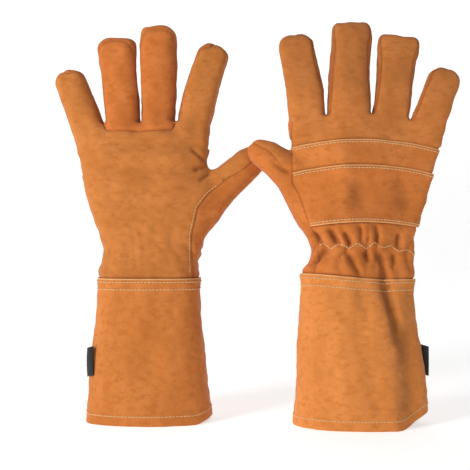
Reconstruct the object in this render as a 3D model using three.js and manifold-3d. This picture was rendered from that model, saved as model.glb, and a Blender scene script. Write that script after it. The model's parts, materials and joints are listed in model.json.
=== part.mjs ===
// Two lined split-leather welding gauntlets, both cut for the right hand, standing side by side.
// Glove A shows its palm towards -Y, and glove B, turned half round about Z, shows its back.
// Millimetres, +Z up to the fingertips. In a glove's own frame +X is its thumb side and +Y its back.

import * as THREE from "three";
import { mergeVertices } from "three/addons/utils/BufferGeometryUtils.js";
import Module from "manifold-3d";

const wasm = await Module();
wasm.setup();

// Driving dimensions.
const GAP = 0.3; // between neighbouring pieces
const LEATHER = 2; // split cowhide
const ELASTIC = [2.3, 3.1]; // depths of its faces under the leather's outer face
const LINING = [3.6, 5.6]; // fleece in the hand and fingers, canvas in the cuff
const WRIST = 139; // top of the cuff, and the line that the hand bends about
const HEM_TURN = 8; // the cuff lining stops this far above the hem
const GUSSET = 16; // width of the strip along a finger's side
const ELASTIC_BAND = [166, 175]; // heights of the elastic's edges
const BAND_EDGES = [190, 245, 269]; // heights of the seams between the pieces of the back
const TAG = { out: 6, width: 1.2, length: 28, height: 58 }; // its middle stands this high on the cuff
const STAGGER = 11; // how far each glove stands off the middle plane

// Half thickness of the hand and cuff at each height, and of a finger from its root, 0, to its tip, 1.
const BODY_THICKNESS = [[0, 36], [60, 33.5], [118, 29], [WRIST, 26], [169, 24], [223, 22], [260, 19],
  [290, 16]];
const FINGER_THICKNESS = [[0, 15.5], [0.5, 14.5], [0.85, 12.5], [1, 9]];
const FINGER_CURL = 7; // how far a fingertip leans towards the palm
const ROUND_TIP = [[0.9, 0.96], [0.96, 0.8], [1, 0.48]]; // share of the last stated width
const SQUARE_TIP = [[0.97, 0.95], [1, 0.82]];

// body: [height, centre, half width], from the hem to above the finger line.
// line: the corners between the fingers, [x, height], from the little finger's side to the forefinger's.
// fingers: tip centre, and half widths [share of the length, half width]. gusset is the side that has the
// strip, and 0 a strip up both sides and over the tip.
// thumbFoot: the section inside the palm that the thumb grows from. thumb: its sections from where it leaves
// the hand to the tip. Each is [x, height, degrees that it leans from upright, half width, half thickness].
// thumbSeam: the seam that parts the thumb's own leather from the palm and the back, from the wrist up.
const GLOVE_A = {
  name: "glove_a",
  place: [-107.2, STAGGER],
  turned: false,
  body: [[0, 0, 61.5], [WRIST, -0.5, 49.3], [169, 1.5, 48], [196, -2.7, 51], [223, -4.4, 57.6],
    [246, -5, 62.5], [269, -7.7, 66], [310, -10, 70]],
  line: [[-75.5, 273.5], [-43, 290], [-8.5, 289], [25.9, 291], [59, 286]],
  fingers: {
    little: { tip: [-80.5, 343], widths: [[0, 17], [0.4, 16.4], [0.75, 15.6]], gusset: 1 },
    ring: { tip: [-32.6, 374], widths: [[0, 16.3], [0.3, 18.3], [0.6, 18.8], [0.85, 20]], gusset: 0 },
    middle: { tip: [9.6, 385.5], widths: [[0, 16.6], [0.35, 17.4], [0.8, 19.2]], gusset: 0 },
    index: { tip: [66, 370], widths: [[0, 16.2], [0.3, 16.8], [0.7, 17.2]], gusset: -1 },
  },
  thumbFoot: [30, 199, 0, 50, 14],
  thumbSeam: [[44.5, 139], [43, 180], [49, 208], [60, 222], [80, 237.5]],
  thumb: [[76, 233, 48, 17.6, 16], [88, 243, 49, 16, 14], [99, 252, 50, 14, 11.5], [106, 258, 50, 11.5, 9.5],
    [110.5, 261.8, 50, 6.5, 6.5]],
};
const GLOVE_B = {
  name: "glove_b",
  place: [98, -STAGGER],
  turned: true,
  body: [[0, 0, 64], [61, 0.8, 61], [118, 3.8, 55.5], [WRIST, 4, 54], [150, 2.4, 52.4], [169, -2.4, 47.7],
    [186, 0.5, 54.2], [209, 1.5, 62.4], [240, -2.7, 67.4], [269, -6, 72], [310, -10, 78]],
  line: [[-81.8, 279.5], [-46.7, 290], [-10.5, 294], [33.5, 293], [68.6, 288.3]],
  fingers: {
    little: { tip: [-84.5, 343], widths: [[0, 17.8], [0.35, 16.6], [0.75, 15.6]], gusset: 1 },
    ring: { tip: [-38.6, 374.5], widths: [[0, 17.6], [0.3, 18.4], [0.65, 20], [0.85, 20.8]], gusset: 0 },
    middle: { tip: [7.6, 388], widths: [[0, 21.2], [0.3, 20.2], [0.85, 20]], gusset: 0 },
    index: { tip: [63.3, 378], widths: [[0, 17], [0.35, 18.2], [0.75, 18.2]], gusset: -1 },
  },
  thumbFoot: [30, 200, 0, 58, 14],
  thumbSeam: [[46, 139], [42, 171], [50, 191], [60, 220], [76, 247]],
  thumb: [[76, 247, 52, 15.6, 16], [86, 255.5, 54, 13.4, 13.5], [96, 260.8, 62, 11.4, 11],
    [102.5, 264, 64, 9.6, 9.5], [106.2, 265.6, 64, 5.5, 6]],
};

const radians = THREE.MathUtils.degToRad;

// The columns of a table after its first, at a key that lies between two of its rows.
function tableAt(table, key) {
  const next = table.findIndex((row) => row[0] >= key);
  const high = table[next < 0 ? table.length - 1 : Math.max(next, 1)];
  const low = table[table.indexOf(high) - 1];
  const share = THREE.MathUtils.clamp((key - low[0]) / (high[0] - low[0]), 0, 1);
  return high.slice(1).map((value, i) => THREE.MathUtils.lerp(low[i + 1], value, share));
}

// A ring of points: a rounded oblong about a centre, its width along a unit vector and its thickness along Y.
const ROUNDING = 2 / 3; // a superellipse of exponent 3
function ring(centre, across, halfWidth, halfThickness, corners) {
  return Array.from({ length: corners }, (_, i) => {
    const angle = ((i + 0.5) * 2 * Math.PI) / corners;
    const w = Math.sign(Math.cos(angle)) * Math.abs(Math.cos(angle)) ** ROUNDING * halfWidth;
    const t = Math.sign(Math.sin(angle)) * Math.abs(Math.sin(angle)) ** ROUNDING * halfThickness;
    return new THREE.Vector3(centre.x + across.x * w, centre.y + t, centre.z + across.z * w);
  });
}

// A closed solid through rings of the same number of points, with a flat fan over each end.
function loft(rings) {
  const corners = rings[0].length;
  const middle = (points) => points.reduce((sum, p) => sum.add(p), new THREE.Vector3()).divideScalar(corners);
  const points = [...rings.flat(), middle(rings[0]), middle(rings.at(-1))];
  const [foot, head] = [points.length - 2, points.length - 1];
  const top = (rings.length - 1) * corners;
  const faces = [];
  for (let i = 0; i < corners; i++) {
    const next = (i + 1) % corners;
    for (let base = 0; base < top; base += corners) {
      faces.push(base + i, base + next, base + corners + next);
      faces.push(base + i, base + corners + next, base + corners + i);
    }
    faces.push(foot, next, i, head, top + i, top + next);
  }
  const geometry = new THREE.BufferGeometry().setFromPoints(points);
  return solidOf(geometry.setIndex(faces));
}

// A solid for cutting and joining. A body that comes out inside out is turned right side out.
const SAME_POINT = 1e-4; // vertices closer than this are one
function solidOf(geometry) {
  const bare = geometry.clone();
  bare.deleteAttribute("normal");
  bare.deleteAttribute("uv");
  const merged = mergeVertices(bare, SAME_POINT);
  const vertProperties = new Float32Array(merged.attributes.position.array);
  const triVerts = new Uint32Array(merged.index.array);
  const solid = new wasm.Manifold(new wasm.Mesh({ numProp: 3, vertProperties, triVerts }));
  if (solid.volume() > 0) return solid;
  return new wasm.Manifold(new wasm.Mesh({ numProp: 3, vertProperties, triVerts: triVerts.reverse() }));
}

function geometryOf(solid) {
  const { vertProperties, triVerts } = solid.getMesh();
  const geometry = new THREE.BufferGeometry();
  geometry.setAttribute("position", new THREE.Float32BufferAttribute(vertProperties, 3));
  return geometry.setIndex([...triVerts]);
}

const lowestY = (solid) => solid.boundingBox().min[1];

// The largest body of a solid, without the crumbs that a slanting cut can leave.
const mainBody = (solid) => solid.decompose().sort((p, q) => q.volume() - p.volume())[0];

// A block between two corners, for cutting with.
const FAR = 600; // past every face of the pair
function block(low, high) {
  const size = high.map((value, i) => value - low[i]);
  const box = new THREE.BoxGeometry(...size);
  return solidOf(box.translate(...high.map((value, i) => (value + low[i]) / 2)));
}
const frontHalf = (y) => block([-FAR, -FAR, -FAR], [FAR, y, FAR]);
const backHalf = (y) => block([-FAR, y, -FAR], [FAR, FAR, FAR]);
const levels = (low, high) => block([-FAR, -FAR, low], [FAR, FAR, high]);

// All that lies past a plane through a point of the XZ plane, on the side that the normal points to.
function beyond(x, z, normal) {
  const box = new THREE.BoxGeometry(2 * FAR, 2 * FAR, FAR);
  box.translate(0, 0, FAR / 2);
  const turn = new THREE.Matrix4().makeRotationY(Math.atan2(normal.x, normal.z));
  return solidOf(box.applyMatrix4(turn).translate(x, 0, z));
}

const leaning = (degrees) => new THREE.Vector3(Math.sin(radians(degrees)), 0, Math.cos(radians(degrees)));
const acrossOf = (direction) => new THREE.Vector3(direction.z, 0, -direction.x);

// Hand and cuff: one tube, at a depth under its outer face.
const BODY_CORNERS = 20;
function bodyTube(glove, depth, low, high) {
  const stops = glove.body.map(([z]) => z).filter((z) => z > low && z < high);
  const across = new THREE.Vector3(1, 0, 0);
  const rings = [low, ...stops, high].map((z) => {
    const [x, halfWidth] = tableAt(glove.body, z);
    const [halfThickness] = tableAt(BODY_THICKNESS, z);
    return ring(new THREE.Vector3(x, 0, z), across, halfWidth - depth, halfThickness - depth, BODY_CORNERS);
  });
  return loft(rings);
}

// The thumb from its leaving plane to the tip. Outer faces start on the plane; inner ones start before it.
const THUMB_CORNERS = 12;
const BEFORE = 5; // how far an inner face runs on past an open end
function thumbTube(glove, depth, lead = 0) {
  const rings = glove.thumb.map(([x, z, lean, halfWidth, halfThickness], i) => {
    const along = leaning(lean);
    const last = i === glove.thumb.length - 1;
    const shift = i === 0 ? -lead : last ? -depth : 0;
    const centre = new THREE.Vector3(x, 0, z).addScaledVector(along, shift);
    return ring(centre, acrossOf(along), halfWidth - depth, halfThickness - depth, THUMB_CORNERS);
  });
  return loft(rings);
}

// The foot of the thumb, which is part of the hand: from inside the palm to the thumb's leaving plane.
function thumbFoot(glove, depth, lead = 0) {
  const [x, z, lean, halfWidth, halfThickness] = glove.thumbFoot;
  const [tx, tz, thumbLean, thumbWidth, thumbThickness] = glove.thumb[0];
  const out = leaning(thumbLean);
  const end = new THREE.Vector3(tx, 0, tz).addScaledVector(out, lead);
  const up = leaning(lean).negate();
  const base = ring(new THREE.Vector3(x, 0, z), up, halfWidth - depth, halfThickness - depth, THUMB_CORNERS);
  return loft([base, ring(end, acrossOf(out), thumbWidth - depth, thumbThickness - depth, THUMB_CORNERS)]);
}

// Where a finger starts, the direction of its part of the finger line, and the way from there to its tip.
function fingerFrame(glove, name) {
  const i = Object.keys(glove.fingers).indexOf(name);
  const [low, high] = [glove.line[i], glove.line[i + 1]];
  const root = new THREE.Vector3((low[0] + high[0]) / 2, 0, (low[1] + high[1]) / 2);
  const edge = new THREE.Vector3(high[0] - low[0], 0, high[1] - low[1]).normalize();
  const { tip } = glove.fingers[name];
  const reach = new THREE.Vector3(tip[0], 0, tip[1]).sub(root);
  return { root, edge, reach };
}

// The sections of a finger at a depth under its outer face, from its root, along the finger line, to its tip.
const SQUARED_BY = 1 / 3; // share of the length at which they stand square to the finger
function fingerStations(glove, name, depth, lead) {
  const { widths, gusset } = glove.fingers[name];
  const { root, edge, reach } = fingerFrame(glove, name);
  const tip = gusset === 0 ? SQUARE_TIP : ROUND_TIP;
  const full = widths.at(-1)[1];
  const stops = [...widths, ...tip.map(([share, part]) => [share, full * part])];
  const along = reach.clone().normalize();
  return stops.map(([share, halfWidth], i) => {
    const turned = Math.min(1, share / SQUARED_BY);
    const across = edge.clone().lerp(acrossOf(along), turned).normalize();
    const centre = root.clone().addScaledVector(along, i ? share * (reach.length() - depth) : -lead);
    centre.y = -FINGER_CURL * share * share;
    const halfThickness = tableAt(FINGER_THICKNESS, share)[0] - depth;
    return { centre, across, along, halfWidth: halfWidth - depth, halfThickness };
  });
}

const FINGER_CORNERS = 12;
function fingerTube(glove, name, depth, lead = 0) {
  const stations = fingerStations(glove, name, depth, lead);
  return loft(stations.map((s) => ring(s.centre, s.across, s.halfWidth, s.halfThickness, FINGER_CORNERS)));
}

// A blade along a finger's middle surface, for cutting: wider and longer than the finger.
function fingerBlade(glove, name, halfThickness) {
  const stations = fingerStations(glove, name, 0, BEFORE);
  const tip = stations.at(-1);
  stations.push({ ...tip, centre: tip.centre.clone().addScaledVector(tip.along, BEFORE) });
  const corners = [[1, 1], [-1, 1], [-1, -1], [1, -1]];
  return loft(stations.map(({ centre, across, halfWidth }) => corners.map(([side, face]) => {
    const corner = centre.clone().addScaledVector(across, side * (halfWidth + BEFORE));
    return corner.setY(centre.y + face * halfThickness);
  })));
}

// A solid with an outline in the XZ plane that runs through the whole glove along Y.
function through(outline) {
  const shape = new THREE.Shape(outline.map(([x, z]) => new THREE.Vector2(x, z)));
  const slab = new THREE.ExtrudeGeometry(shape, { depth: 2 * FAR, bevelEnabled: false });
  return solidOf(slab.rotateX(Math.PI / 2).translate(0, FAR, 0));
}

// Everything above the finger line, moved up by some height.
function aboveLine(glove, rise) {
  const line = glove.line.map(([x, z]) => [x, z + rise]);
  const [left, right] = [[-FAR, line[0][1]], [FAR, line.at(-1)[1]]];
  return through([left, ...line, right, [FAR, FAR], [-FAR, FAR]]);
}

// The thumb's side of its seam on the hand, moved towards the fingers' side by some distance.
function thumbSide(glove, grow) {
  const seam = glove.thumbSeam.map(([x, z]) => [x - grow, z + grow]);
  const end = seam.at(-1);
  return through([...seam, [end[0] + FAR, end[1]], [FAR, 0], [seam[0][0], 0]]);
}

const suede = new THREE.MeshStandardMaterial({ color: 0xc8803f, roughness: 0.95, metalness: 0 });
const fleece = new THREE.MeshStandardMaterial({ color: 0xddd2bb, roughness: 1, metalness: 0 });
const rubberWeb = new THREE.MeshStandardMaterial({ color: 0xe9e4d8, roughness: 0.8, metalness: 0 });
const ribbon = new THREE.MeshStandardMaterial({ color: 0x17150f, roughness: 0.6, metalness: 0 });

function addPiece(group, name, solid, material) {
  const mesh = new THREE.Mesh(geometryOf(mainBody(solid)), material.clone());
  mesh.name = name;
  group.add(mesh);
}

// The hand with the thumb's foot, hollow between two depths, from the wrist to the finger line.
function handShell(glove, [outer, inner]) {
  const low = WRIST + GAP / 2;
  const high = Math.max(...glove.line.map(([, z]) => z)) + BEFORE;
  const full = bodyTube(glove, outer, low, high).add(thumbFoot(glove, outer));
  const hollow = bodyTube(glove, inner, low - BEFORE, high).add(thumbFoot(glove, inner, BEFORE));
  return full.subtract(hollow).subtract(aboveLine(glove, -GAP)).intersect(levels(low, FAR));
}

function buildHand(glove, group) {
  const shell = handShell(glove, [0, LEATHER]);
  const thumbLeather = thumbSide(glove, 0);
  const hand = shell.subtract(thumbSide(glove, GAP));
  addPiece(group, `${glove.name}_palm`, hand.intersect(frontHalf(-GAP / 2)), suede);
  addPiece(group, `${glove.name}_thumb_base`, shell.intersect(thumbLeather), suede);
  const back = hand.intersect(backHalf(GAP / 2));
  const edges = [WRIST, ...BAND_EDGES, FAR];
  for (const [i, name] of ["wrist_back", "back_panel", "knuckle_band", "hand_back"].entries()) {
    const strip = levels(edges[i] + GAP / 2, edges[i + 1] - GAP / 2);
    addPiece(group, `${glove.name}_${name}`, back.intersect(strip), suede);
  }
  addPiece(group, `${glove.name}_hand_lining`, handShell(glove, LINING), fleece);
  const [low, high] = ELASTIC_BAND;
  const inside = bodyTube(glove, ELASTIC[1], low - BEFORE, high + BEFORE);
  const end = glove.thumbFoot[0] - GAP; // it stops where the thumb's foot begins
  const reach = block([-FAR, GAP, 0], [end, FAR, FAR]);
  const elastic = bodyTube(glove, ELASTIC[0], low, high).subtract(inside).intersect(reach);
  addPiece(group, `${glove.name}_wrist_elastic`, elastic, rubberWeb);
}

function buildFinger(glove, name, group) {
  const shell = fingerTube(glove, name, 0).subtract(fingerTube(glove, name, LEATHER, BEFORE));
  const { gusset } = glove.fingers[name];
  const strip = (grow) => {
    const blade = fingerBlade(glove, name, GUSSET / 2 + grow);
    if (gusset === 0) return blade;
    const { root, reach } = fingerFrame(glove, name);
    const side = acrossOf(reach.clone().normalize()).multiplyScalar(gusset);
    return blade.intersect(beyond(root.x - side.x * grow, root.z - side.z * grow, side));
  };
  const clear = aboveLine(glove, GAP);
  const label = `${glove.name}_${name}`;
  // Where there is no strip, the front and the back meet along the finger's middle surface.
  const faces = shell.subtract(strip(GAP)).subtract(fingerBlade(glove, name, GAP / 2)).decompose();
  const largest = faces.sort((p, q) => q.volume() - p.volume()).slice(0, 2);
  const [front, back] = largest.sort((p, q) => lowestY(p) - lowestY(q));
  addPiece(group, `${label}_front`, front.intersect(clear), suede);
  addPiece(group, `${label}_back`, back.intersect(clear), suede);
  addPiece(group, `${label}_gusset`, shell.intersect(strip(0)).intersect(clear), suede);
  const sock = fingerTube(glove, name, LINING[0]).subtract(fingerTube(glove, name, LINING[1], BEFORE));
  addPiece(group, `${label}_lining`, sock.intersect(clear), fleece);
}

// The thumb's two leathers meet along seams that cross from its palm side, low, to its back, high.
const THUMB_SEAM_TURN = 67; // degrees from the glove's middle plane
function buildThumb(glove, group) {
  const shell = thumbTube(glove, 0).subtract(thumbTube(glove, LEATHER, BEFORE));
  const [x, z, lean] = glove.thumb[0];
  const out = leaning(lean);
  const start = shell.intersect(beyond(x + out.x * GAP, z + out.z * GAP, out));
  const half = (height) => {
    const box = new THREE.BoxGeometry(2 * FAR, FAR, 2 * FAR).translate(0, FAR / 2 + height, 0);
    const turned = box.applyMatrix4(new THREE.Matrix4().makeRotationAxis(out, radians(THUMB_SEAM_TURN)));
    return solidOf(turned.translate(x, 0, z));
  };
  addPiece(group, `${glove.name}_thumb_front`, start.subtract(half(-GAP / 2)), suede);
  addPiece(group, `${glove.name}_thumb_back`, start.intersect(half(GAP / 2)), suede);
}

function buildCuff(glove, group) {
  const top = WRIST - GAP / 2;
  const shell = bodyTube(glove, 0, 0, top).subtract(bodyTube(glove, LEATHER, -BEFORE, top + BEFORE));
  addPiece(group, `${glove.name}_cuff_front`, shell.intersect(frontHalf(-GAP / 2)), suede);
  addPiece(group, `${glove.name}_cuff_back`, shell.intersect(backHalf(GAP / 2)), suede);
  const sleeve = bodyTube(glove, LINING[0], HEM_TURN, top);
  const inside = bodyTube(glove, LINING[1], 0, top + BEFORE);
  addPiece(group, `${glove.name}_cuff_lining`, sleeve.subtract(inside), fleece);
  const low = TAG.height - TAG.length / 2; // the cuff is wider lower down
  const [centre, halfWidth] = tableAt(glove.body, low);
  const edge = centre - halfWidth - 2 * GAP;
  const tag = block([edge - TAG.out, -TAG.width / 2, low], [edge, TAG.width / 2, low + TAG.length]);
  addPiece(group, `${glove.name}_label`, tag, ribbon);
}

function buildGlove(glove) {
  const group = new THREE.Group();
  group.position.set(glove.place[0], glove.place[1], 0);
  if (glove.turned) group.rotation.z = Math.PI;
  buildCuff(glove, group);
  buildHand(glove, group);
  for (const name of Object.keys(glove.fingers)) buildFinger(glove, name, group);
  buildThumb(glove, group);
  return group;
}

const pair = new THREE.Group();
for (const glove of [GLOVE_A, GLOVE_B]) pair.add(buildGlove(glove));

export default pair;
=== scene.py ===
# Two suede welding gauntlets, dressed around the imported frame. Metres, the frame's own axes: +Z up to the
# fingertips and -Y towards the camera. In a glove's own frame +X is its thumb side and +Y its back.
#
# Each glove's skin is one smooth surface, grown from tubes measured on the frame's nodes. It is folded and
# gathered by moving its vertices, and then cut along its seams into leather panels with real thickness.

import json
import math

import bpy
import numpy as np
import openvdb
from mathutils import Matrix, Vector


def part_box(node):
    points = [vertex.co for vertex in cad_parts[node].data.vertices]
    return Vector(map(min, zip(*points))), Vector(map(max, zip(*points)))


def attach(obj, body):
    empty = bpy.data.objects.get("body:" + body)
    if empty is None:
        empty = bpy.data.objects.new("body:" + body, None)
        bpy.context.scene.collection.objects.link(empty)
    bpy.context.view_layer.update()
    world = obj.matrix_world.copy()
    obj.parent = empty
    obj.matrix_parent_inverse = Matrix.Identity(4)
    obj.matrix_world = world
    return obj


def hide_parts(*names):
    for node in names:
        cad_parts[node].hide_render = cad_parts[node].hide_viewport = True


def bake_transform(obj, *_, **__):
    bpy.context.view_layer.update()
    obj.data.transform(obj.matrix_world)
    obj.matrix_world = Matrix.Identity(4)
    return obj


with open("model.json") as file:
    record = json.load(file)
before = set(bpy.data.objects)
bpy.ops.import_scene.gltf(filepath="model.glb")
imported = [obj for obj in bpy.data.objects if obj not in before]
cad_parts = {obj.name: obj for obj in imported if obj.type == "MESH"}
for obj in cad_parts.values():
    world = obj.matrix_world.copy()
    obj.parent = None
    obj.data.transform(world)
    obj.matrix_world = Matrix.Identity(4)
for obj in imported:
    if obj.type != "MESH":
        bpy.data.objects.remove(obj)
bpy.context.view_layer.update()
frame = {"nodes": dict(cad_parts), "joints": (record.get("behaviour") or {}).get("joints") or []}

MM = 0.001
RIGHT, _, UP = np.eye(3)
FLAT = np.array([1, 0, 1])  # times a place: that place in the palm's plane
FINGERS = ("little", "ring", "middle", "index")
BACKS = ("wrist_back", "back_panel", "knuckle_band", "hand_back")

# The skin that is grown over the frame.
VOXEL = 1.9 * MM  # of the grid that it is grown on
LINING_VOXEL = 1.6 * VOXEL  # the linings' grid is coarser
STEP = 2.0 * MM  # between the measured sections of a tube
SQUARENESS = 3.0  # exponent of the rounded sections
MARGIN = 8 * MM  # of the grid round the frame
SQUARE_TIP, ROUND_TIP = 6 * MM, 13 * MM  # how softly a fingertip's corners turn, with two strips or with one
THUMB_TIP = 6 * MM
JOIN = 4 * MM  # how softly the tubes run into each other
FINGER_FOOT, THUMB_FOOT = 14 * MM, 60 * MM  # how far they go on into the hand
CROTCH_FILL = {"glove_a": 14 * MM, "glove_b": 9 * MM}  # how softly the thumb runs into the hand
WELD = 0.001 * MM  # vertices closer than this are one

# Panels.
LEATHER = 1.5 * MM  # shown thickness of a panel
LINING_DEPTH = 4.6 * MM  # of its outer face under the skin
ELASTIC_DEPTH, ELASTIC_THICKNESS = 1.9 * MM, 0.8 * MM
LAP = 6 * MM  # how far a panel runs on under the edge of the next one
RAISE, RAISED = 1.7 * MM, 13 * MM  # of a lapped edge, and how far back from it the leather rises
VALLEY, ROLL = 1.0 * MM, 1.1 * MM  # how far a sewn seam is drawn in, and how wide
SEWN_LINE, OVER_LINE = 1.3 * MM, 1.2 * MM  # from such edges to a line of vertices along them
FAR = 20 * MM  # from any edge
SHADOW_GROOVE = 1.6 * MM  # how far the leather sinks beside an edge that lies on it
GUSSETS = {"little": 1, "ring": 0, "middle": 0, "index": -1}  # side of the strip, 0 for both
GUSSET_HALF = 8 * MM  # half the width of a strip
GUSSET_SHIFT = 2 * MM  # the strips sit a little towards the back, and over the tip towards the palm
FRONT_DROP = 7 * MM  # how far the fronts of the middle fingers come down onto the palm
SEAM_LIMIT = {"glove_a": 90 * MM, "glove_b": 66 * MM}  # how far out the seam beside the thumb may run
THUMB_SEAM = (0.09, 0.23)  # where it runs across the thumb, and how much it turns, in half widths
KNUCKLE_TOP, PANEL_TOP, PANEL_BOTTOM = 271.6 * MM, 247.2 * MM, 193.1 * MM  # the back's seams, at the middle
ARCH, ARCH_HALF = 6.3 * MM, 62 * MM  # how far those seams drop, and how far out
CUFF_TILT = {"glove_a": 0, "glove_b": 5 * MM}  # how much higher the cuff's top edge is by the thumb

# Lengths from the hinges at the wrist, a finger's root and the thumb's.
WRIST_BEND, FINGER_BEND, THUMB_BEND = 46 * MM, 34 * MM, 30 * MM

# Thread.
STITCH, PITCH, THREAD = 2.5 * MM, 3.5 * MM, 0.5 * MM  # length, spacing and radius
CUFF_ROWS = (3.5 * MM, 10.5 * MM)  # from the cuff's top edge down to its two rows
HEM_ROW = 9 * MM  # height of the hem's row
BAND_ROW = 2.9 * MM  # from a seam of the back to its row
PALM_ROW = 2.6 * MM  # from the seam beside the thumb to its row
ZIGZAG = (8.3 * MM, 2.9 * MM)  # length of a leg and half its height

# Gathers and folds, and painted shade.
ELASTIC, ELASTIC_HALF = 171 * MM, 5 * MM
PLEAT = {"glove_a": 12 * MM, "glove_b": 14.5 * MM}  # spacing of the gathers
PLEAT_DEPTH = {"glove_a": 5.4 * MM, "glove_b": 4.0 * MM}
HEM_CURL = {"glove_a": 5 * MM, "glove_b": 13 * MM}  # how far one end of the hem turns up
CUFF_PRESS, HAND_PRESS, THUMB_PRESS = 0.36, 0.6, 0.2  # how much flatter glove B is there
WRIST_PUFF = 3.0 * MM  # how far the gathered leather swells over the cuff's edge
UNDULATION_HEIGHT, RIPPLE_HEIGHT = 0.8 * MM, 0.22 * MM
CREASE_PAINTED_SHADE = 0.36  # painted shade: how much darker the colour is in the bottom of a deep fold
FINGER_PAINTED_SHADE = {"glove_a": 0.04, "glove_b": 0.13}  # painted shade: how much darker the colour is towards the fingertips

# Folds that are drawn one by one: start and end (x, height), then depth and half width, all in millimetres.
PALM_FOLDS = [
    ((43, 265), (58, 252), 3, 2), ((45, 244), (58, 248), 3, 2), ((50, 233), (62, 244), 3, 2),
    ((-46, 294), (-37, 283), 2.4, 2.2),
]
BACK_FOLDS = [
    ((35, 169), (50, 152), 6, 3), ((16, 165), (3, 142), 6, 3.2), ((0, 166), (-7, 155), 4.6, 2.6),
    ((-15, 165), (-23, 138), 7, 3.6), ((-31, 163), (-29, 146), 5, 3), ((47, 183), (34, 168), 5, 2.4),
    ((33, 187), (21, 170), 5.4, 2.6), ((18, 183), (12, 171), 4.6, 2.4), ((3, 190), (2, 173), 5.2, 2.6),
    ((-12, 191), (-13, 173), 5.4, 2.6), ((-34, 183), (-36, 167), 5, 2.6),
    ((-18, 146), (-32, 84), 10, 5), ((-33, 96), (-41, 4), 3.4, 9), ((6, 140), (-4, 96), 2.2, 7),
    ((27, 139), (18, 100), 2, 7), ((8, 236), (5, 200), 2.8, 9), ((-36, 238), (-40, 200), 2.8, 9),
    ((84, 249), (68, 239.5), 3.2, 2.4),
]

# Where each ribbon leaves its cuff and where it ends, (x, y) in millimetres, and how it slants and rises.
TAGS = {"glove_a": ((-51, -24), (-58, -17.5)), "glove_b": ((-55, 1), (-64.5, 5))}
TAG_SLANT = -0.25
TAG_RISE = {"glove_a": 2.5 * MM, "glove_b": 5 * MM}
TAG_ROWS = 9  # points along it and up it

# The studio.
EYE, LENS, SENSOR = (-0.0226, -0.8, 0.181), 62.85, 36
WORLD_LIGHT, PAPER_LIGHT = 0.2, 0.56
SOFTBOXES = {  # place, size and power
    "key": ((-1.2, -0.95, 0.7), 0.5, 17.5),
    "fill": ((0.1, -1.3, 0.4), 0.9, 1.2),
}
LIT = (0, 0, 0.2)  # what they point at
FLOOR_FRONT, FLOOR_BACK, WALL_TOP, WALL_HALF, COVE = -9.0, 1.2, 3.0, 8.0, 0.8

rng = np.random.default_rng(7)


# ---- small helpers

def smoothstep(low, high, value):
    t = np.clip((value - low) / (high - low), 0, 1)
    return t * t * (3 - 2 * t)


def falling(low, high, value):
    return 1 - smoothstep(low, high, value)


def smooth_max(a, b, width):
    h = np.clip(0.5 + 0.5 * (a - b) / width, 0, 1)
    return b + (a - b) * h + width * h * (1 - h)


def smooth_min(a, b, width):
    return -smooth_max(-a, -b, width)


def units(vectors):
    return vectors / np.maximum(np.linalg.norm(vectors, axis=1), 1e-12)[:, None]


def bump(distance, width):
    """1 on a line and 0 beyond a few widths of it."""
    return np.exp(-((distance / width) ** 2))


class Waves:
    """Soft noise: a sum of plane waves with fixed random directions and phases."""

    def __init__(self, shortest, longest, count=14):
        directions = rng.normal(size=(count, 3))
        directions /= np.linalg.norm(directions, axis=1, keepdims=True)
        lengths = rng.uniform(shortest, longest, size=(count, 1))
        self.vectors = directions * 2 * math.pi / lengths
        self.phases = rng.uniform(0, 2 * math.pi, size=count)

    def __call__(self, points):
        return np.sin(points @ self.vectors.T + self.phases).sum(axis=1) / math.sqrt(len(self.phases) / 2)


def smoothed(values, passes=2):
    for _ in range(passes):
        padded = np.pad(values, ((2, 2), (0, 0)), mode="edge")
        values = (padded[:-4] + padded[1:-3] + padded[2:-2] + padded[3:-1] + padded[4:]) / 5
    return values


# ---- measuring the frame

class Wire:
    """The edges of some of the frame's nodes, in a glove's own frame."""

    def __init__(self, glove, *names):
        starts, ends = [], []
        for name in names:
            mesh = frame["nodes"][f"{glove.name}_{name}"].data
            points = np.empty(len(mesh.vertices) * 3)
            mesh.vertices.foreach_get("co", points)
            points = glove.inward(points.reshape(-1, 3))
            edges = np.empty(len(mesh.edges) * 2, dtype=int)
            mesh.edges.foreach_get("vertices", edges)
            starts.append(points[edges[0::2]])
            ends.append(points[edges[1::2]])
        self.a = np.concatenate(starts)
        self.b = np.concatenate(ends)

    def cut(self, origin, along, distance):
        """Where the edges cross a plane at a distance along a direction."""
        a = (self.a - origin) @ along - distance
        b = (self.b - origin) @ along - distance
        crossing = (a < 0) != (b < 0)
        share = (a[crossing] / (a[crossing] - b[crossing]))[:, None]
        return self.a[crossing] * (1 - share) + self.b[crossing] * share


class Tube:
    """A tube of rounded sections square to a straight axis: centre and half size across and in depth."""

    def __init__(self, origin, along, across, stations, rows, tip_radius=0.0):
        self.origin, self.along, self.across = origin, along, across
        self.stations = np.array(stations)
        self.rows = smoothed(np.array(rows))
        self.tip_radius = tip_radius

    def coordinates(self, points):
        """Distance along, offset across from the middle line and offset in depth from it."""
        local = points - self.origin
        s = local @ self.along
        centre, _, depth, _ = self.sizes(s)
        return s, local @ self.across - centre, local[:, 1] - depth

    def sizes(self, s):
        return [np.interp(s, self.stations, self.rows[:, k]) for k in range(4)]

    def distance(self, points):
        """Roughly the signed distance to the tube, below 0 inside."""
        s, w, y = self.coordinates(points)
        _, half, _, deep = self.sizes(s)
        u = np.abs(w) / half
        v = np.abs(y) / deep
        q = (u ** SQUARENESS + v ** SQUARENESS + 1e-9) ** (1 / SQUARENESS)
        slope = np.sqrt((u ** 2 / half) ** 2 + (v ** 2 / deep) ** 2) / q ** 2
        inside = (q - 1) / np.maximum(slope, 0.3 / np.maximum(half, deep))
        if self.tip_radius == 0:
            return inside
        return smooth_max(inside, s - self.stations[-1], self.tip_radius)


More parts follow.
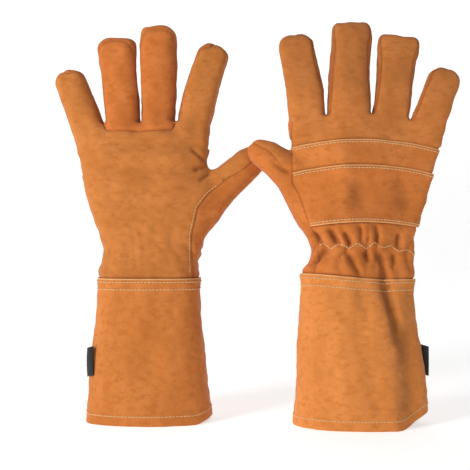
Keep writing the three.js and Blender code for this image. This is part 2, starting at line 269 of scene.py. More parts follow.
def sections(wire, origin, along, across, stations):
    """Centre and half size, across and in depth, of what the planes square to a direction cut."""
    rows = []
    for s in stations:
        points = wire.cut(origin, along, s) - origin
        spans = [(v.min(), v.max()) for v in (points @ across, points[:, 1])]
        rows.append([size for low, high in spans for size in ((high + low) / 2, (high - low) / 2)])
    return rows


class Glove:
    """What is measured of one glove: its place, its hinges and the tubes that make up its skin."""

    def __init__(self, name):
        self.name = name
        corners = np.concatenate([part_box(f"{name}_cuff_front"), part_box(f"{name}_cuff_back")])
        self.place = (corners.min(axis=0) + corners.max(axis=0)) / 2 * np.array([1, 1, 0])
        palm_y = np.mean(np.array(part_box(f"{name}_palm"))[:, 1])
        turn = 1.0 if palm_y < self.place[1] else -1.0
        self.turn = np.array([turn, turn, 1.0])
        self.hinges = {}
        for joint in frame["joints"]:
            if joint["name"].startswith(name) and joint["type"] == "hinge":
                spot = self.inward(np.array(joint["pos_m"], float))
                axis = np.array(joint["axis"], float) * self.turn
                self.hinges[joint["name"][len(name) + 1:]] = (spot, axis)
        self.wrist = self.hinges["wrist"][0][2]
        self.measure()

    def inward(self, points):
        return (points - self.place) * self.turn

    def outward(self, points):
        return points * self.turn + self.place

    def measure(self):
        """Makes a tube of each finger, and then of the thumb and the body."""
        self.fingers = {}
        for name in FINGERS:
            origin, edge = self.hinges[f"{name}_bend"]
            origin = origin * FLAT
            out = np.array([-edge[2], 0, edge[0]])
            wire = Wire(self, f"{name}_front", f"{name}_back", f"{name}_gusset")
            reach = ((np.concatenate([wire.a, wire.b]) - origin) @ out).max()
            stations = np.arange(1.5 * MM, reach - 0.8 * MM, STEP)
            rows = sections(wire, origin, out, edge, stations)
            tip = SQUARE_TIP if GUSSETS[name] == 0 else ROUND_TIP
            self.fingers[name] = Tube(origin, out, edge, stations, rows, tip)
        self.measure_thumb()
        self.measure_body()

    def measure_thumb(self):
        """The thumb's tube, whose foot lies in the palm, and the seam beside it."""
        crotch = self.hinges["thumb_swing"][0] * FLAT
        wire = Wire(self, "thumb_front", "thumb_back")
        ends = np.concatenate([wire.a, wire.b]) - crotch
        ends = ends[np.hypot(ends[:, 0], ends[:, 2]) > 8 * MM]
        slope = np.arctan2(ends[:, 2], ends[:, 0]).min()
        across = -np.array([math.cos(slope), 0, math.sin(slope)])
        along = np.array([across[2], 0, -across[0]])
        reach = (ends @ along).max()
        stations = np.arange(MM, reach - 0.8 * MM, STEP)
        rows = sections(wire, crotch, along, across, stations)
        # The foot of the thumb goes on into the palm and widens along its lower outline.
        foot = Wire(self, "thumb_base")
        top = rows[0][0] + rows[0][1]
        inner, foot_rows = [], []
        for s in np.arange(-62 * MM, -MM, 2 * STEP):
            low = ((foot.cut(crotch, along, s) - crotch) @ across).min()
            inner.append(s)
            foot_rows.append([(top + low) / 2, (top - low) / 2, 0, rows[0][3] * 0.98])
        self.thumb = Tube(crotch, along, across, [*inner, *stations], foot_rows + rows, THUMB_TIP)
        self.crotch = crotch
        heights = np.arange(self.wrist + 2 * MM, self.crotch[2], STEP)
        cuts = [foot.cut(np.zeros(3), UP, z)[:, 0] for z in heights]
        self.seam = np.array([(z, cut.min()) for z, cut in zip(heights, cuts) if len(cut)])
        ends = self.seam[:, [1, 0, 0]] * FLAT
        s, w, _ = self.thumb.coordinates(ends)
        self.seam_end = w[np.argmin(np.abs(s))]  # where the palm's seam reaches the thumb
        self.seam[:, 1] = np.minimum(self.seam[:, 1], SEAM_LIMIT[self.name])

    def measure_body(self):
        """The upright tube of the cuff and hand, without the thumb."""
        hand = Wire(self, "palm", "thumb_base", *BACKS)
        cuff = Wire(self, "cuff_front", "cuff_back")
        roots = [tube.origin[2] for tube in self.fingers.values()]
        top = max(roots) + 14 * MM
        stations, rows = [], []
        for z in np.arange(MM, top, STEP):
            wire = cuff if z < self.wrist else hand
            points = wire.cut(np.zeros(3), UP, z)
            if len(points) < 8 or abs(z - self.wrist) < MM:
                continue
            stations.append(z)
            rows.append([points[:, 0].min(), points[:, 0].max(), points[:, 1].min(), points[:, 1].max()])
        stations, rows = np.array(stations), np.array(rows)
        clear = (stations < self.wrist + 26 * MM) | (stations > self.crotch[2] + 3 * MM)  # of the thumb
        rows[:, 1] = np.interp(stations, stations[clear], rows[clear, 1])
        # Near the finger line only part of the section is left, so its size is carried on from below.
        full = stations < min(roots) - 8 * MM
        for k in range(4):
            fit = np.polyfit(stations[full][-10:], rows[full][-10:, k], 1)
            rows[~full, k] = np.polyval(fit, stations[~full])
        centre, half = (rows[:, 0] + rows[:, 1]) / 2, (rows[:, 1] - rows[:, 0]) / 2
        deep = (rows[:, 3] - rows[:, 2]) / 2
        self.body = Tube(np.zeros(3), UP, RIGHT, stations, np.stack([centre, half, deep * 0, deep], axis=1))

    def line(self, x):
        """Height of the line that the fingers start from."""
        corners = []
        for tube in self.fingers.values():
            slope = -tube.along[0] / tube.along[2]
            corners.append((tube.origin[0], tube.origin[2], slope))
        heights = np.array([z + slope * (x - cx) for cx, z, slope in corners])
        nearest = np.argmin([np.abs(x - cx) for cx, _, _ in corners], axis=0)
        return np.take_along_axis(heights, nearest[None], axis=0)[0]

    def under_fingers(self, x):
        """1 under the ring and middle fingers, whose fronts are pieces of their own, and 0 beyond them."""
        ring, middle = self.fingers["ring"].origin[0], self.fingers["middle"].origin[0]
        return falling(15 * MM, 18 * MM, np.abs(x - (ring + middle) / 2) - (middle - ring) / 2)

    def elastic(self, x):
        """Height of the gathers and of their stitches, which sags towards the little finger."""
        return ELASTIC - 6 * MM * falling(-50 * MM, -12 * MM, x)

    def parts(self, points):
        """Signed distances to the body, to each finger and to the thumb."""
        above = points[:, 2] - self.line(points[:, 0])
        body = smooth_max(self.body.distance(points), above - 1.5 * MM, JOIN)
        fingers = []
        for tube in self.fingers.values():
            s = tube.coordinates(points)[0]
            fingers.append(np.maximum(tube.distance(points), -s - FINGER_FOOT))
        s = self.thumb.coordinates(points)[0]
        thumb = smooth_max(self.thumb.distance(points), -s - THUMB_FOOT, JOIN)
        return body, fingers, thumb, above

    def distance(self, points):
        body, fingers, thumb, _ = self.parts(points)
        hand = smooth_min(body, thumb, CROTCH_FILL[self.name])
        return smooth_min(hand, np.minimum.reduce(fingers), JOIN)


# ---- the skin

class Skin:
    """A glove's outer surface as a triangle mesh, with its normals and its place on each tube."""

    def __init__(self, glove, voxel, depth=0.0):
        self.glove, self.depth = glove, depth
        own = [node for node in frame["nodes"] if node.startswith(glove.name)]
        boxes = [glove.inward(np.array(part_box(node))) for node in own if not node.endswith("label")]
        corners = np.concatenate(boxes)
        low = corners.min(axis=0) - MARGIN
        shape = np.ceil((corners.max(axis=0) + MARGIN - low) / voxel).astype(int)
        axes = [low[k] + voxel * np.arange(shape[k]) for k in range(3)]
        grid = np.stack(np.meshgrid(*axes, indexing="ij"), axis=-1).reshape(-1, 3)
        values = np.concatenate([glove.distance(part) for part in np.array_split(grid, 24)]) + depth
        volume = openvdb.FloatGrid(background=20 * MM)
        volume.copyFromArray(np.ascontiguousarray(values.reshape(shape), dtype=np.float32))
        points, quads = volume.convertToQuads(isovalue=0.0)
        self.points = points.astype(float) * voxel + low
        self.faces = np.concatenate([quads[:, [0, 1, 2]], quads[:, [0, 2, 3]]]).astype(int)
        for _ in range(2):
            self.settle()
        self.find_normals()
        self.pull_to_surface()

    def patch(self):
        """The whole skin as one patch, with the fields that its seams are drawn by."""
        glove = self.glove
        body, fingers, thumb, above = glove.parts(self.points)
        s, w, y = glove.thumb.coordinates(self.points)
        _, half, _, deep = glove.thumb.sizes(s)
        palm = falling(-4 * MM, 2 * MM, self.points[:, 1])
        fields = {"above": above, "thumb": body - thumb, "thumb_s": s}
        fields["tucked"] = palm * glove.under_fingers(self.points[:, 0])
        fields["root"] = above + FRONT_DROP * fields["tucked"]
        settled = smoothstep(0, 24 * MM, s)
        turned = half * (THUMB_SEAM[0] + THUMB_SEAM[1] * y / deep)
        fields["thumb_split"] = w - (1 - settled) * glove.seam_end - settled * turned
        for k, name in enumerate(FINGERS):
            s, w, y = glove.fingers[name].coordinates(self.points)
            others = np.minimum.reduce([d for i, d in enumerate(fingers) if i != k])
            fields[f"{name}_own"] = (others - fingers[k]) / 2
            fields[f"{name}_y"] = y
            fields[f"{name}_share"] = s / glove.fingers[name].stations[-1]
            fields[f"{name}_side"] = w * np.sign(glove.fingers[name].across[0])
        table = np.column_stack([self.points, self.normals, *fields.values()])
        return Patch(table, self.faces, list(fields))

    def settle(self):
        """Moves each vertex half way to the mean of its neighbours."""
        total = np.zeros_like(self.points)
        count = np.zeros(len(self.points))
        for i, j in ((0, 1), (1, 2), (2, 0), (1, 0), (2, 1), (0, 2)):
            np.add.at(total, self.faces[:, i], self.points[self.faces[:, j]])
            np.add.at(count, self.faces[:, i], 1)
        self.points = 0.5 * self.points + 0.5 * total / count[:, None]

    def pull_to_surface(self):
        """Moves each vertex along its normal onto the surface, which settling takes it off."""
        for _ in range(2):
            value = self.glove.distance(self.points) + self.depth
            self.points = self.points - self.normals * np.clip(value, -2 * MM, 2 * MM)[:, None]
            self.find_normals()

    def find_normals(self):
        corners = self.points[self.faces]
        facing = np.cross(corners[:, 1] - corners[:, 0], corners[:, 2] - corners[:, 0])
        normals = np.zeros_like(self.points)
        for k in range(3):
            np.add.at(normals, self.faces[:, k], facing)
        self.normals = units(normals)


class Patch:
    """Part of a skin. Columns 0-2 of its table are the place on the smooth skin and 3-5 the normal there; the
    rest are named fields. Cutting it interpolates them all."""

    def __init__(self, table, faces, names):
        self.table, self.faces, self.names = table, faces, names

    def __getitem__(self, name):
        return self.table[:, 6 + self.names.index(name)]

    @property
    def points(self):
        return self.table[:, 0:3]

    @property
    def normals(self):
        return units(self.table[:, 3:6])

    def divided(self, value):
        """The patch with its triangles divided along the value's zero line, and which side each is on."""
        inside = value > 0
        count = inside[self.faces].sum(axis=1)
        crossed = (count == 1) | (count == 2)
        faces = self.faces[crossed]
        odd = np.where(count[crossed][:, None] == 1, inside[faces], ~inside[faces])
        turn = np.argmax(odd, axis=1)[:, None]
        lone, left, right = np.take_along_axis(faces, (turn + np.arange(3)) % 3, axis=1).T
        keys = np.sort(np.concatenate([np.stack([lone, left], 1), np.stack([lone, right], 1)]), axis=1)
        pairs, index = np.unique(keys, axis=0, return_inverse=True)
        first, second = np.split(index.reshape(-1) + len(self.table), 2)
        a, b = pairs.T
        share = (value[a] / (value[a] - value[b]))[:, None]
        table = np.concatenate([self.table, self.table[a] * (1 - share) + self.table[b] * share])
        rows = [self.faces[~crossed], np.stack([lone, first, second], 1)]
        rows += [np.stack([first, left, right], 1), np.stack([first, right, second], 1)]
        side = inside[lone]
        sides = np.concatenate([count[~crossed] == 3, side, ~side, ~side])
        return Patch(table, np.concatenate(rows), self.names), sides

    def scored(self, value):
        return self.divided(value)[0]

    def above(self, value):
        """The part where a value is above 0."""
        patch, sides = self.divided(value)
        used, faces = np.unique(patch.faces[sides], return_inverse=True)
        return Patch(patch.table[used], faces.reshape(-1, 3), self.names)

    def rim(self):
        """The boundary's edges, each in the direction of its face."""
        edges = np.concatenate([self.faces[:, [0, 1]], self.faces[:, [1, 2]], self.faces[:, [2, 0]]])
        _, index, count = np.unique(np.sort(edges, axis=1), axis=0, return_inverse=True, return_counts=True)
        return edges[count[index.reshape(-1)] == 1]

    def contours(self, value, shown):
        """The value's zero line where shown is above 0, as patches without faces, in order along it."""
        sign = value > 0
        count = sign[self.faces].sum(axis=1)
        links, rows = {}, {}
        for face in self.faces[(count == 1) | (count == 2)].tolist():
            ends = []
            for i, j in ((0, 1), (1, 2), (2, 0)):
                a, b = sorted((face[i], face[j]))
                if sign[a] == sign[b]:
                    continue
                share = value[a] / (value[a] - value[b])
                ends.append((a, b))
                if shown[a] * (1 - share) + shown[b] * share > 0:
                    rows[a, b] = self.table[a] * (1 - share) + self.table[b] * share
            links.setdefault(ends[0], []).append(ends[1])
            links.setdefault(ends[1], []).append(ends[0])
        near = {key: [n for n in links[key] if n in rows] for key in rows}
        seen, lines = set(), []
        for start in sorted(near, key=lambda key: (len(near[key]) != 1, key)):
            line = []
            following = [start] * (start not in seen)
            while following:
                line.append(following[0])
                seen.add(following[0])
                following = [n for n in near[line[-1]] if n not in seen]
            if len(line) > 4:
                if line[0] in near[line[-1]]:
                    line.append(line[0])
                lines.append(Patch(np.array([rows[key] for key in line]), None, self.names))
        return lines

    def resampled(self, pitch):
        """A line with its rows at an even spacing."""
        steps = np.linalg.norm(np.diff(self.points, axis=0), axis=1)
        lengths = np.concatenate([[0], np.cumsum(steps)])
        marks = np.linspace(0, lengths[-1], max(2, round(lengths[-1] / pitch) + 1))
        columns = [np.interp(marks, lengths, column) for column in self.table.T]
        return Patch(np.column_stack(columns), None, self.names)


# ---- folds in the leather

UNDULATION = Waves(32 * MM, 85 * MM)
RIPPLE = Waves(9 * MM, 20 * MM)
DRIFT = Waves(25 * MM, 60 * MM)


def gathers(glove, points):
    """The pleats that the elastic draws in the back of the wrist, and their ends on the palm side."""
    x, y, z = points.T
    drift = DRIFT(points * FLAT)
    height = z - glove.elastic(x)
    fan = 1 + 0.25 * smoothstep(0, 30 * MM, np.abs(height))
    wave = (x / fan + 3.0 * MM * drift + 0.12 * height) / PLEAT[glove.name]
    ridge = np.abs(np.sin(math.pi * wave)) - 0.62
    reach = np.where(height > 0, 17 * MM, 24 * MM)
    strength = np.exp(-np.abs(height / reach) ** 2.2)
    return PLEAT_DEPTH[glove.name] * ridge * strength * (0.12 + 0.88 * smoothstep(-2 * MM, 12 * MM, y))


def crease(points, start, end, depth, width):
    """A fold along a line on the face that starts and ends softly, in the palm's plane."""
    start, end = np.array(start) * MM, np.array(end) * MM
    along = end - start
    flat = points[:, [0, 2]] - start
    t = flat @ along / (along @ along)
    off = flat - np.clip(t, 0, 1)[:, None] * along
    fade = smoothstep(-0.15, 0.2, t) * falling(0.7, 1.15, t)
    return -depth * fade * bump(np.hypot(*off.T), width)


def folds(glove, patch):
    """How far the leather lies off the smooth skin."""
    points = patch.points
    x, y, z = points.T
    lift = UNDULATION_HEIGHT * UNDULATION(points) + RIPPLE_HEIGHT * RIPPLE(points) + gathers(glove, points)
    palm = falling(-4 * MM, 4 * MM, y)
    back = 1 - palm
    lift += WRIST_PUFF * back * bump(z - glove.wrist - 8 * MM, 8 * MM) * (0.7 + 0.4 * DRIFT(points))
    root = patch["root"]
    along_seam = palm * (patch["tucked"] > 0.02) * falling(6 * MM, 12 * MM, np.abs(root))
    lift += along_seam * 0.9 * MM * bump(root - 3.5 * MM, 3.5 * MM)
    lift -= along_seam * 1.6 * MM * np.exp(-np.abs(root) / ROLL)
    side, table = (palm, PALM_FOLDS) if glove.name == "glove_a" else (back, BACK_FOLDS)
    for start, end, depth, width in table:
        lift += side * crease(points, start, end, depth * MM, width * MM)
    if glove.name == "glove_a":
        lift += 2.2 * MM * bump(z - 164 * MM, 8 * MM) * smoothstep(42 * MM, 48 * MM, x)
    return lift


def shaped(glove, patch, lift):
    """The places of a patch's vertices with a lift off the smooth skin and the folds added."""
    points = patch.points + patch.normals * (folds(glove, patch) + lift)[:, None]
    x, _, z = patch.points.T
    curl = HEM_CURL[glove.name] * falling(0, 60 * MM, z)
    if glove.name == "glove_b":  # the little finger's side is pressed flat, and its hem curls up
        cuff = falling(100 * MM, 132 * MM, z)
        points[:, 1] *= 1 - CUFF_PRESS * cuff * falling(-52 * MM, -26 * MM, x)
        points[:, 1] *= 1 - (1 - cuff) * (HAND_PRESS - HAND_PRESS * smoothstep(-58 * MM, 26 * MM, x))
        points[:, 1] *= 1 - THUMB_PRESS * smoothstep(14 * MM, 62 * MM, x)
        points[:, 2] += curl * falling(-66 * MM, -34 * MM, x)
    else:
        points[:, 2] += curl * smoothstep(46 * MM, 64 * MM, x)
    points[:, 2] = np.maximum(points[:, 2], 0)
    return points


# ---- panels

class Piece:
    """A sheet of leather or lining cut from a skin: borders are functions of a patch, above 0 inside it.
    plain borders only end it, sewn ones are drawn in, over ones lie raised on the next panel, and under ones
    run on beneath it."""

    def __init__(self, glove, patch, plain=(), sewn=(), over=(), under=()):
        self.glove = glove
        for border in sewn:
            patch = patch.scored(border(patch) - SEWN_LINE)
        for border in over:
            patch = patch.scored(border(patch) - OVER_LINE)
        for border in (*plain, *sewn, *over):
            patch = patch.above(border(patch))
        for border in under:
            patch = patch.scored(border(patch))
            patch = patch.above(border(patch) + LAP)
        self.patch = patch
        self.lift = np.zeros(len(patch.table))
        self.edge = np.full(len(patch.table), FAR)
        self.cut = np.full(len(patch.table), FAR)
        for border in sewn:
            away = np.maximum(border(patch), 0)
            self.lift -= VALLEY * np.exp(-away / ROLL)
            # The distance to the seam, along which the colour is darkened as painted shade in the valley.
            self.edge = np.minimum(self.edge, away)
        for border in over:
            away = np.maximum(border(patch), 0)
            self.lift += RAISE * falling(0, RAISED, away) - 0.35 * MM * bump(away, MM)
            self.cut = np.minimum(self.cut, away)
        for border in under:
            away = border(patch)
            self.lift -= SHADOW_GROOVE * falling(-MM, 3 * MM, away)
            # The distance to the edge above, along which the colour is darkened as painted shadow in the
            # groove.
            self.edge = np.minimum(self.edge, np.maximum(away * 0.6, 0))

    def build(self, name, material, depth=0.0, thickness=LEATHER):
        """A closed mesh of the piece, with its outer face a depth below the skin."""
        patch = self.patch
        outer = shaped(self.glove, patch, self.lift - depth)
        inner = shaped(self.glove, patch, self.lift - depth - thickness)
        n = len(outer)
        a, b = patch.rim().T
        rim = np.concatenate([np.stack([b, a, a + n], 1), np.stack([b, a + n, b + n], 1)])
        faces = np.concatenate([patch.faces, patch.faces[:, ::-1] + n, rim])
        places = self.glove.outward(np.concatenate([outer, inner]))
        # Painted shade: the colour darkens towards the fingertips.
        painted_shade = 1 - FINGER_PAINTED_SHADE[self.glove.name] * smoothstep(-10 * MM, 50 * MM, patch["above"])
        # Painted shade: the colour darkens in the bottom of deep folds.
        painted_shade *= 1 - CREASE_PAINTED_SHADE * smoothstep(0.8 * MM, 5 * MM, -folds(self.glove, patch))
        fields = {"edge": np.tile(self.edge, 2), "cut": np.tile(self.cut, 2), "painted_shade": np.tile(painted_shade, 2)}
        return make_object(name, places, faces, material, fields)


def welded(places, faces, fields):
    """The same mesh with vertices at one place made one, without the faces that this flattens or doubles."""
    _, first, index = np.unique(np.round(places / WELD), axis=0, return_index=True, return_inverse=True)
    faces = index.reshape(-1)[faces]
    faces = faces[(faces != np.roll(faces, 1, axis=1)).all(axis=1)]
    _, same, count = np.unique(np.sort(faces, axis=1), axis=0, return_inverse=True, return_counts=True)
    faces = faces[count[same.reshape(-1)] == 1]
    used, corners = np.unique(faces, return_inverse=True)
    kept = first[used]
    return places[kept], corners.reshape(-1, 3), {key: values[kept] for key, values in dict(fields).items()}


def added(name, data):
    """A new object in the scene."""
    obj = bpy.data.objects.new(name, data)
    bpy.context.scene.collection.objects.link(obj)
    return obj


def make_object(name, places, faces, material, fields=()):
    places, faces, fields = welded(places, faces, fields)
    mesh = bpy.data.meshes.new(name)
    mesh.from_pydata(places.tolist(), [], faces.tolist())
    mesh.shade_smooth()
    mesh.set_sharp_from_angle(angle=math.radians(60))
    for key in fields:
        mesh.attributes.new(key, "FLOAT", "POINT").data.foreach_set("value", fields[key].astype(np.float32))
    obj = added(name, mesh)
    mesh.materials.append(material)
    return obj


def inverse(border):
    return lambda patch: -border(patch)


def field(key):
    return lambda patch: patch[key]


class Seams:
    """The borders between a glove's panels, as functions of a patch."""

    def __init__(self, glove):
        self.glove = glove
        self.above_hem = lambda p: p.points[:, 2]
        self.back = lambda p: p.points[:, 1]
        self.fingers = field("root")
        self.thumb = lambda p: np.minimum(p["thumb"], p["thumb_s"])
        self.thumb_upper = field("thumb_split")
        self.thumb_base = lambda p: p.points[:, 0] - np.interp(p.points[:, 2], *glove.seam.T)

    def over_cuff(self, patch):
        """Height above the cuff's top edge, which rises towards the thumb."""
        x, _, z = patch.points.T
        return z - self.glove.wrist - CUFF_TILT[self.glove.name] * smoothstep(-30 * MM, 50 * MM, x)

    def across_back(self, height):
        """Above one of the arched seams of the back."""
        middle = self.glove.body.rows[:, 0].mean()
        return lambda p: p.points[:, 2] - height + ARCH * ((p.points[:, 0] - middle) / ARCH_HALF) ** 2

    def gusset(self, name):
        """Half the width of the gusset strip, and none on a side without one."""
        side = GUSSETS[name]

        def half(p):
            if side == 0:
                return GUSSET_HALF
            return GUSSET_HALF * smoothstep(-3 * MM, 3 * MM, p[f"{name}_side"] * side)

        def shift(p):
            return GUSSET_SHIFT * half(p) / GUSSET_HALF * (1 - 2 * smoothstep(0.72, 0.98, p[f"{name}_share"]))

        return lambda p: half(p) - np.abs(p[f"{name}_y"] - shift(p))


def hang(obj, glove, role):
    """Parents a cuff piece to its cuff body's empty, and bakes any other piece's transform into its mesh."""
    bodies = {part: f"{glove.name}_{part}" for part in ("cuff", "hand", "thumb", *FINGERS)}
    if role == "cuff":
        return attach(obj, bodies["cuff"])
    if role == "hand":
        a, b, start, along = "cuff", "hand", glove.wrist * UP, UP * WRIST_BEND
    elif role == "thumb":
        a, b, start, along = "hand", "thumb", glove.crotch, glove.thumb.along * THUMB_BEND
    else:
        a, b, start, along = "hand", role, glove.fingers[role].origin, glove.fingers[role].along * FINGER_BEND
    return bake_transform(obj, bodies[a], bodies[b], glove.outward(start), glove.outward(start + along))


def leather_panels(glove, patch, looks):
    """Every outer panel of a glove, under its node's name."""
    seams = Seams(glove)
    top, middle, low = (seams.across_back(z) for z in (KNUCKLE_TOP, PANEL_TOP, PANEL_BOTTOM))
    main = inverse(seams.thumb_base)
    cuff_top = inverse(seams.over_cuff)
    base = patch.above(seams.over_cuff(patch) + LAP + MM)
    base = base.above(-seams.thumb(base))
    base = base.above(-seams.fingers(base))
    cuff = patch.above(seams.above_hem(patch))
    cuff = cuff.above(cuff_top(cuff) + 3 * MM)
    under_cuff = [seams.over_cuff]
    palm_side = inverse(seams.back)
    sides = [seams.back, main]
    panels = {}

    def add(node, role, look, skin, **borders):
        panels[node] = (role, looks[look], Piece(glove, skin, **borders))

    add("cuff_front", "cuff", "cuff", cuff, sewn=[palm_side], over=[cuff_top])
    add("cuff_back", "cuff", "cuff", cuff, sewn=[seams.back], over=[cuff_top])
    add("palm", "hand", "palm", base, sewn=[main, palm_side], under=under_cuff)
    add("thumb_base", "hand", "low", base, sewn=[seams.thumb_base], under=under_cuff)
    add("hand_back", "hand", "top", base, sewn=sides, under=[top])
    add("knuckle_band", "hand", "band", base, sewn=sides, over=[inverse(top)], under=[middle])
    add("back_panel", "hand", "panel", base, sewn=sides, over=[inverse(middle), low])
    add("wrist_back", "hand", "panel", base, sewn=sides, under=[inverse(low), *under_cuff])
    thumb = patch.above(seams.thumb(patch))
    add("thumb_back", "thumb", "palm", thumb, sewn=[seams.thumb_upper])
    add("thumb_front", "thumb", "low", thumb, sewn=[inverse(seams.thumb_upper)])
    fingers = patch.above(seams.fingers(patch))
    for name in FINGERS:
        own = fingers.above(fingers[f"{name}_own"])
        strip, back = seams.gusset(name), field(f"{name}_y")
        outside = inverse(strip)
        front = "fingers" if GUSSETS[name] == 0 else "palm"
        add(f"{name}_front", name, front, own, sewn=[outside, inverse(back)])
        add(f"{name}_back", name, "top", own, sewn=[outside, back])
        add(f"{name}_gusset", name, "gusset", own, sewn=[strip])
    return panels


def lining_panels(glove, patch, looks):
    """The fleece and canvas inside."""
    seams = Seams(glove)
    cuff = patch.above(seams.above_hem(patch) - 8 * MM)
    hand = patch.above(seams.over_cuff(patch))
    hand = hand.above(-seams.fingers(hand))
    hand = hand.above(-seams.thumb(hand))
    fingers = patch.above(seams.fingers(patch))
    panels = {
        "cuff_lining": ("cuff", looks["canvas"], Piece(glove, cuff, plain=[inverse(seams.over_cuff)])),
        "hand_lining": ("hand", looks["fleece"], Piece(glove, hand)),
    }
    for name in FINGERS:
        own = Piece(glove, fingers, plain=[field(f"{name}_own")])
        panels[f"{name}_lining"] = (name, looks["fleece"], own)
    return panels


# ---- stitches and tags

def capsule(start, end, radius, sides=5):
    """Places and faces of a thread between two points, with rounded ends."""
    along = end - start
    along = along / np.linalg.norm(along)
    across = np.cross(along, [0.0, 1.0, 0.13])
    across /= np.linalg.norm(across)
    up = np.cross(along, across)
    turns = np.arange(sides) * 2 * math.pi / sides
    circle = np.cos(turns)[:, None] * across + np.sin(turns)[:, None] * up
    rings = [start + circle * radius, end + circle * radius]
    places = np.concatenate([[start - along * radius * 0.7], *rings, [end + along * radius * 0.7]])
    faces = []
    for k in range(sides):
        n = (k + 1) % sides
        faces += [(0, 1 + n, 1 + k), (1 + k, 1 + n, 1 + sides + n), (1 + k, 1 + sides + n, 1 + sides + k)]
        faces += [(1 + sides + k, 1 + sides + n, 1 + 2 * sides)]
    return places, np.array(faces)


def zigzagged(line):
    """A line that swings up and down as it goes."""
    leg, height = ZIGZAG
    line = line.resampled(leg / 3)
    swing = np.abs((np.arange(len(line.table)) / 3) % 2 - 1) * 2 - 1
    line.table[:, 2] += height * swing * (0.8 + 0.35 * RIPPLE(line.points))
    return line


def thread(glove, name, material, runs):
    """One mesh of all the stitches of some runs: (line, lift), each already at the stitches' spacing."""
    all_places, all_faces, count = [], [], 0
    for rows, lift in runs:
        points = shaped(glove, rows, np.full(len(rows.table), lift))
        gap = (1 - STITCH / PITCH) / 2
        starts = points[:-1] * (1 - gap) + points[1:] * gap
        ends = points[:-1] * gap + points[1:] * (1 - gap)
        for start, end in zip(starts, ends):
            if np.linalg.norm(end - start) < 3 * THREAD:
                continue
            places, faces = capsule(start, end, THREAD)
            all_places.append(places)
            all_faces.append(faces + count)
            count += len(places)
    places = glove.outward(np.concatenate(all_places))
    return make_object(name, places, np.concatenate(all_faces), material)


def stitching(glove, patch, material):
    """The visible rows of thread: along each lapped edge, at the elastic, round the cuff and at its hem."""
    seams = Seams(glove)
    level, depth = patch.points[:, 2], patch.points[:, 1]
    palm_seam = seams.thumb_base(patch)
    back = np.minimum.reduce([depth - 3 * MM, -palm_seam - MM, -seams.thumb(patch) - 3 * MM])
    on = RAISE + 0.1 * MM
    runs = {"hand": [], "cuff": []}

    def sew(role, value, shown, lift):
        runs[role] += [(line.resampled(PITCH), lift) for line in patch.contours(value, shown)]

    for height in (KNUCKLE_TOP - BAND_ROW, PANEL_TOP - BAND_ROW, PANEL_BOTTOM + BAND_ROW):
        sew("hand", seams.across_back(height)(patch), back, on)
    top = glove.seam[:, 0].max() - 3 * MM
    above_cuff = level - glove.wrist - 4 * MM
    palm = np.minimum.reduce([-depth - 2 * MM, above_cuff, -seams.thumb(patch), top - level])
    sew("hand", palm_seam + PALM_ROW, palm, -0.4 * MM)
    everywhere = np.ones(len(level))
    for drop, lift in zip(CUFF_ROWS, (on, 0.25 * on)):
        sew("cuff", seams.over_cuff(patch) + drop, everywhere, lift)
    sew("cuff", level - HEM_ROW, everywhere, 0.1 * MM)
    elastic = level - glove.elastic(patch.points[:, 0])
    runs["hand"] += [(zigzagged(line), 0.35 * MM) for line in patch.contours(elastic, back)]
    for role, some in runs.items():
        hang(thread(glove, f"{glove.name}_{role}_stitches", material, some), glove, role)


def tag(glove, material):
    """A folded ribbon that comes out of the cuff's side seam and lies forward."""
    node = f"{glove.name}_label"
    low, high = glove.inward(np.array(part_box(node)))
    root, tip = (np.array(end) * MM for end in TAGS[glove.name])
    side = np.array([root[1] - tip[1], tip[0] - root[0]]) / np.linalg.norm(tip - root)
    reach = np.linspace(0, 1, TAG_ROWS)
    away = 0.35 * MM + 0.5 * MM * np.sin(math.pi * reach)
    fold = [root + (tip - root) * t + side * a for t, a in zip(reach, away)]
    fold += [root + (tip - root) * t - side * a for t, a in zip(reach[::-1], away[::-1])]
    heights = np.linspace(low[2], high[2], TAG_ROWS)
    places = []
    for k, z in enumerate(heights):
        bow = side * 0.8 * MM * math.sin(3.0 * k / (TAG_ROWS - 1))
        rise = z + TAG_RISE[glove.name]
        places += [(*(spot + bow), rise + TAG_SLANT * np.linalg.norm(spot - root)) for spot in fold]
    count = len(fold)
    faces = []
    for k in range(len(heights) - 1):
        for i in range(count):
            a, b = k * count + i, k * count + (i + 1) % count
            faces += [(a, b, b + count), (a, b + count, a + count)]
    last = count * (len(heights) - 1)
    for i in range(1, count - 1):
        faces += [(0, i + 1, i), (last, last + i, last + i + 1)]
    obj = make_object(f"{glove.name}_tag", glove.outward(np.array(places)), np.array(faces), material)
    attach(obj, f"{glove.name}_cuff")
    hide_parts(node)


# ---- materials

def linear(colour):
    """An sRGB colour of 0-255 as linear RGBA."""
    shares = [c / 255 for c in colour]
    return [c / 12.92 if c <= 0.04045 else ((c + 0.055) / 1.055) ** 2.4 for c in shares] + [1.0]


